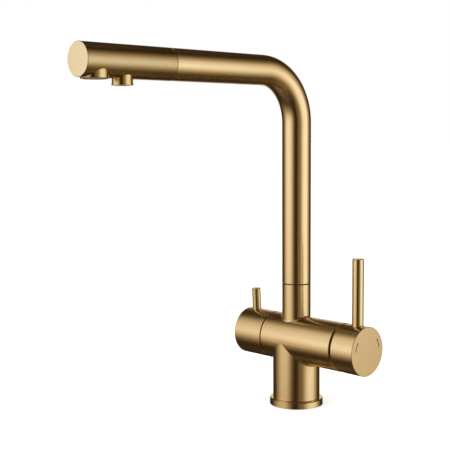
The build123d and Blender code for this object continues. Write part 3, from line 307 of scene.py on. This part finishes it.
def moulded(name, hex_code, roughness, grit_mm, depth_mm):
    """A moulded, sintered or painted piece: even colour, slight clouding and grit in its gloss.

    Real grit is finer than the render can show, so it is drawn 0.5 to 0.8 mm wide.
    """
    material, tree, output = new_material(name)
    place = add(tree, "ShaderNodeTexCoord").outputs["Object"]
    grit = add(
        tree, "ShaderNodeTexNoise", {"Vector": place, "Scale": 1 / (grit_mm * mm), "Detail": 2.0}
    )
    cloud = add(
        tree, "ShaderNodeTexNoise", {"Vector": place, "Scale": 1 / tint_size, "Detail": 2.0}
    )
    darker = [c * (1 - tint) for c in colour(hex_code)[:3]] + [1.0]
    base = add(
        tree,
        "ShaderNodeMix",
        {"Factor": cloud.outputs["Fac"], 6: tuple(darker), 7: colour(hex_code)},
        data_type="RGBA",
    )
    rough = add(
        tree,
        "ShaderNodeMapRange",
        {
            "Value": grit.outputs["Fac"],
            "To Min": roughness - gloss_spread,
            "To Max": roughness + gloss_spread,
        },
    )
    bump = add(
        tree,
        "ShaderNodeBump",
        {"Height": grit.outputs["Fac"], "Strength": 0.5, "Distance": depth_mm * mm},
    )
    shader = add(
        tree,
        "ShaderNodeBsdfPrincipled",
        {
            "Base Color": base.outputs[2],
            "Roughness": rough.outputs["Result"],
            "Normal": bump.outputs["Normal"],
        },
    )
    tree.links.new(shader.outputs[0], output.inputs["Surface"])
    return material


finish_of_slot = {
    "brushed_gold": gold_body,
    "head_gold": gold_head,
    "polished_gold": gold_outlet,
    "plain_brass": plain_brass,
    "stainless_steel": steel,
    # Nitrile rubber: dull and black, with hardly a highlight
    "black_rubber": moulded("nitrile_rubber", "#1A1918", 0.62, 0.5, 0.02),
    # Acetal: opaque white or grey, with a soft sheen
    "white_plastic": moulded("acetal", "#E9E8E2", 0.38, 0.8, 0.005),
    "grey_plastic": moulded("acetal_grey", "#8F9193", 0.42, 0.8, 0.005),
    # Filled PTFE: dark brown with a weak sheen, at the swivel's seam
    "dark_plastic": moulded("ptfe_ring", "#241C12", 0.5, 0.6, 0.005),
    # Lapped alumina: off-white and glossy
    "ceramic": moulded("alumina", "#EFEDE6", 0.16, 0.6, 0.001),
    # Enamel paint in the two marks: deep red and nearly black blue, with a small clear highlight
    "hot_red": moulded("enamel_red", "#5E160E", 0.3, 0.5, 0.004),
    "cold_blue": moulded("enamel_blue", "#10141F", 0.3, 0.5, 0.004),
}
finish_of_node = {
    "spout_tube": gold_spout,
    "mixer_handle_cap": gold_cap,
    "filter_handle_cap": gold_cap,
    "mixer_lever_pin": gold_pin,
    "filter_lever_pin": gold_pin,
    "base_flange": gold_flange,
}
slot_of_node = {part["node"]: part["material_slot"] for part in frame["record"]["subparts"]}
for name, node in nodes.items():
    node.material_slots[0].material = finish_of_node.get(name, finish_of_slot[slot_of_node[name]])

# --------------------------------------------------------------------------------------------
# Camera, fitted to the photograph's edges
# --------------------------------------------------------------------------------------------

camera_place = Vector((632.558, -696.318, 261.391)) * mm
camera_azimuth, camera_pitch, camera_roll = 46.48, 5.19, -0.33

camera = bpy.data.objects.new("camera", bpy.data.cameras.new("camera"))
bpy.context.scene.collection.objects.link(camera)
bpy.context.scene.camera = camera
camera.data.sensor_width = 36
camera.data.lens = 77.68
camera.matrix_world = (
    Matrix.Translation(camera_place)
    @ Matrix.Rotation(radians(camera_azimuth), 4, "Z")
    @ Matrix.Rotation(radians(90 - camera_pitch), 4, "X")
    @ Matrix.Rotation(radians(camera_roll), 4, "Z")
)

# --------------------------------------------------------------------------------------------
# Studio
# --------------------------------------------------------------------------------------------

floor_size = 60
tent_radius = 3.0
tap_middle = Vector((0, 0, 0.15))
camera_bearing = degrees(atan2(camera_place.y, camera_place.x))

# World: plain white where it is seen, and weaker where it lights dull surfaces
world = bpy.data.worlds.new("studio")
bpy.context.scene.world = world
world.use_nodes = True
tree = world.node_tree
tree.nodes.clear()
white = colour("#FFFFFF")
rays = add(tree, "ShaderNodeLightPath")
seen = add(
    tree,
    "ShaderNodeMath",
    {0: rays.outputs["Is Camera Ray"], 1: rays.outputs["Is Glossy Ray"]},
    operation="MAXIMUM",
)
seen = add(
    tree,
    "ShaderNodeMath",
    {0: seen.outputs[0], 1: rays.outputs["Is Transmission Ray"]},
    operation="MAXIMUM",
)
soft_light = add(tree, "ShaderNodeBackground", {"Color": white, "Strength": 0.75})
backdrop = add(tree, "ShaderNodeBackground", {"Color": white, "Strength": 1.0})
surround = add(
    tree,
    "ShaderNodeMixShader",
    {"Fac": seen.outputs[0], 1: soft_light.outputs[0], 2: backdrop.outputs[0]},
)
add(tree, "ShaderNodeOutputWorld", {"Surface": surround.outputs[0]})

# Floor: pale, white where no shadow falls. The metal reflects the tent's lower half instead of it.
bpy.ops.mesh.primitive_plane_add(size=floor_size)
floor = bpy.context.object
floor.name = "floor"
paper, tree, output = new_material("white_paper")
rays = add(tree, "ShaderNodeLightPath")
lit = add(tree, "ShaderNodeBsdfDiffuse", {"Color": colour("#F4F4F4")})
glow = add(tree, "ShaderNodeEmission", {"Color": white, "Strength": 0.38})
both = add(tree, "ShaderNodeAddShader", {0: lit.outputs[0], 1: glow.outputs[0]})
paper_shader = add(
    tree,
    "ShaderNodeMixShader",
    {"Fac": rays.outputs["Is Camera Ray"], 1: lit.outputs[0], 2: both.outputs[0]},
)
tree.links.new(paper_shader.outputs[0], output.inputs["Surface"])
floor.data.materials.append(paper)
floor.visible_glossy = False


def ramp(tree, value, dark, bright):
    """A smooth step from 0 where the value is at dark to 1 where it is at bright, in degrees."""
    step = add(
        tree,
        "ShaderNodeMapRange",
        {"Value": value, "From Min": radians(dark), "From Max": radians(bright)},
        interpolation_type="SMOOTHSTEP",
    )
    return step.outputs["Result"]


def soft_window(tree, bearing, height, left, right, foot, top, strength):
    """A softbox seen from the tap, bright between its feathered edges.

    Each edge is the pair of angles where its light starts and where it is full: bearings counted
    rightwards from the camera's, and heights above the horizon. An edge past 180 degrees, or past
    90 in height, or below a bearing that can't be negative, leaves that side open.
    """
    light = strength
    for value, edge in ((bearing, left), (bearing, right), (height, foot), (height, top)):
        edge = ramp(tree, value, *edge)
        light = add(tree, "ShaderNodeMath", {0: edge, 1: light}, operation="MULTIPLY").outputs[0]
    return light


# A tent round the tap, seen only in reflections: black cloth with soft windows in it
bpy.ops.mesh.primitive_uv_sphere_add(segments=48, ring_count=24, radius=tent_radius)
tent = bpy.context.object
tent.name = "light_tent"
cloth, tree, output = new_material("tent_cloth")
place = add(tree, "ShaderNodeTexCoord").outputs["Object"]
turned = add(
    tree,
    "ShaderNodeVectorRotate",
    {"Vector": place, "Angle": -radians(camera_bearing)},
    rotation_type="Z_AXIS",
)
split = add(tree, "ShaderNodeSeparateXYZ", {0: turned.outputs[0]})
bearing = add(
    tree, "ShaderNodeMath", {0: split.outputs["Y"], 1: split.outputs["X"]}, operation="ARCTAN2"
)
height = add(tree, "ShaderNodeMath", {0: split.outputs["Z"], 1: tent_radius}, operation="DIVIDE")
height = add(tree, "ShaderNodeMath", {0: height.outputs[0]}, operation="ARCSINE")
away = add(tree, "ShaderNodeMath", {0: bearing.outputs[0]}, operation="ABSOLUTE")
angles = (bearing.outputs[0], height.outputs[0])
behind = (away.outputs[0], height.outputs[0])
windows = (
    # The main softbox, left of the camera
    soft_window(tree, *angles, (-132, -70), (-8, -54), (-44, 10), (88, 42), 1.0),
    # The softbox on the right, its dim light lower down, and its spill towards the camera
    soft_window(tree, *angles, (24, 62), (133, 80), (-48, 2), (66, 8), 0.8),
    soft_window(tree, *angles, (24, 62), (133, 80), (-85, -30), (66, 8), 0.22),
    soft_window(tree, *angles, (2, 16), (60, 30), (-48, 2), (66, 8), 0.22),
    # The white paper behind the tap, which the tops of its level pieces reflect
    soft_window(tree, *behind, (148, 168), (200, 190), (-24, -6), (36, 8), 0.9),
    # The pale floor, which their undersides reflect
    soft_window(tree, *behind, (-2, -1), (200, 190), (-40, -65), (200, 190), 0.1),
    # A weak softbox overhead, mostly for the sides that the camera doesn't see
    soft_window(tree, *behind, (-2, -1), (200, 190), (64, 80), (200, 190), 0.45),
)
brightness = 0.0
for window in windows:
    brightness = add(tree, "ShaderNodeMath", {0: window, 1: brightness}, operation="ADD").outputs[0]
# A black flag above the camera, so that the pieces don't mirror light from there into each other
flag = soft_window(tree, *behind, (-2, -1), (76, 58), (10, 28), (200, 190), 0.95)
flag = add(tree, "ShaderNodeMath", {0: 1.0, 1: flag}, operation="SUBTRACT")
brightness = add(tree, "ShaderNodeMath", {0: brightness, 1: flag.outputs[0]}, operation="MULTIPLY")
# Dim light is browner than bright light, to match the photograph's dark golds
shade = add(tree, "ShaderNodeValToRGB", {"Fac": brightness.outputs[0]})
shade.color_ramp.elements[0].color = (0.024, 0.015, 0.008, 1)
shade.color_ramp.elements[1].color = (1.0, 0.985, 1.0, 1)
for position, tint in (
    (0.12, (0.12, 0.081, 0.044, 1)),
    (0.3, (0.28, 0.207, 0.13, 1)),
    (0.65, (0.65, 0.53, 0.39, 1)),
):
    shade.color_ramp.elements.new(position).color = tint
light = add(tree, "ShaderNodeEmission", {"Color": shade.outputs["Color"], "Strength": 1.2})
tree.links.new(light.outputs[0], output.inputs["Surface"])
tent.data.materials.append(cloth)
tent.visible_camera = False
tent.visible_diffuse = False
tent.visible_transmission = False
tent.visible_shadow = False


lamp_distance, lamp_height, lamp_size = 1.6, 1.2, 1.0


def soft_lamp(name, bearing, power):
    """A large square softbox, which lights the dull pieces and the floor."""
    lamp = bpy.data.objects.new(name, bpy.data.lights.new(name, "AREA"))
    bpy.context.scene.collection.objects.link(lamp)
    lamp.data.shape = "SQUARE"
    lamp.data.size = lamp_size
    lamp.data.energy = power
    angle = radians(camera_bearing + bearing)
    lamp.location = (lamp_distance * cos(angle), lamp_distance * sin(angle), lamp_height)
    lamp.rotation_euler = (tap_middle - lamp.location).to_track_quat("-Z", "Y").to_euler()
    lamp.visible_glossy = False


soft_lamp("softbox_left", -60, 14)
soft_lamp("softbox_right", 80, 8)

bpy.context.scene.view_settings.view_transform = "Standard"
